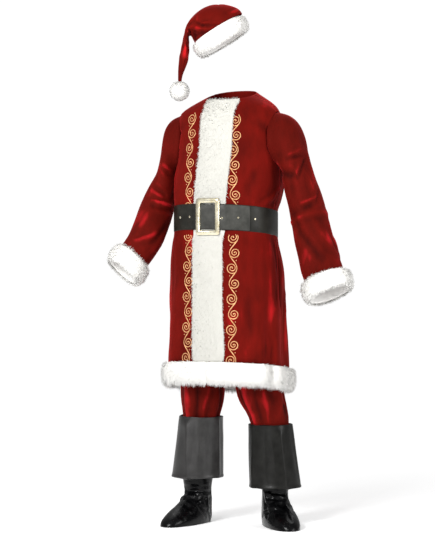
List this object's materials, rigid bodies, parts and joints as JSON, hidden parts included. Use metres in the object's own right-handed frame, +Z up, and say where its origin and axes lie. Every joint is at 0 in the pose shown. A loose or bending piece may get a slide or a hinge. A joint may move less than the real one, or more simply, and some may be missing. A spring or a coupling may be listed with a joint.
{
  "type": "santa suit costume",
  "caption": "Worn santa suit: belted velvet coat with plush front, hem and cuffs, trousers, boot covers and a tasselled hat, all hollow.",
  "frame": {"origin": "middle of the wearer's neck base, where the wearer holds the coat", "axes": "+Z up, the front towards -Y, +X to the wearer's left"},
  "size_m": [0.8486, 0.4127, 1.797],
  "materials": {
    "velvet": "napped velvet",
    "plush": "short white plush",
    "leatherette": "satin",
    "buckle_metal": "polished pale"
  },
  "bodies": {
    "root": {"coat_front_left": "velvet", "coat_front_right": "velvet", "coat_back": "velvet", "sleeve_left": "velvet", "sleeve_right": "velvet", "trouser_front_left": "velvet", "trouser_front_right": "velvet", "trouser_back_left": "velvet", "trouser_back_right": "velvet", "trouser_waistband": "velvet", "hat_crown": "velvet", "placket": "plush", "hem_band": "plush", "cuff_left": "plush", "cuff_right": "plush", "hat_band": "plush", "hat_pompom": "plush", "belt_strap": "leatherette", "belt_end": "leatherette", "boot_shaft_left": "leatherette", "boot_shaft_right": "leatherette", "boot_cuff_left": "leatherette", "boot_cuff_right": "leatherette", "buckle_frame": "buckle_metal", "eyelet_1": "buckle_metal", "eyelet_2": "buckle_metal", "eyelet_3": "buckle_metal", "eyelet_4": "buckle_metal"}
  },
  "joints": []
}
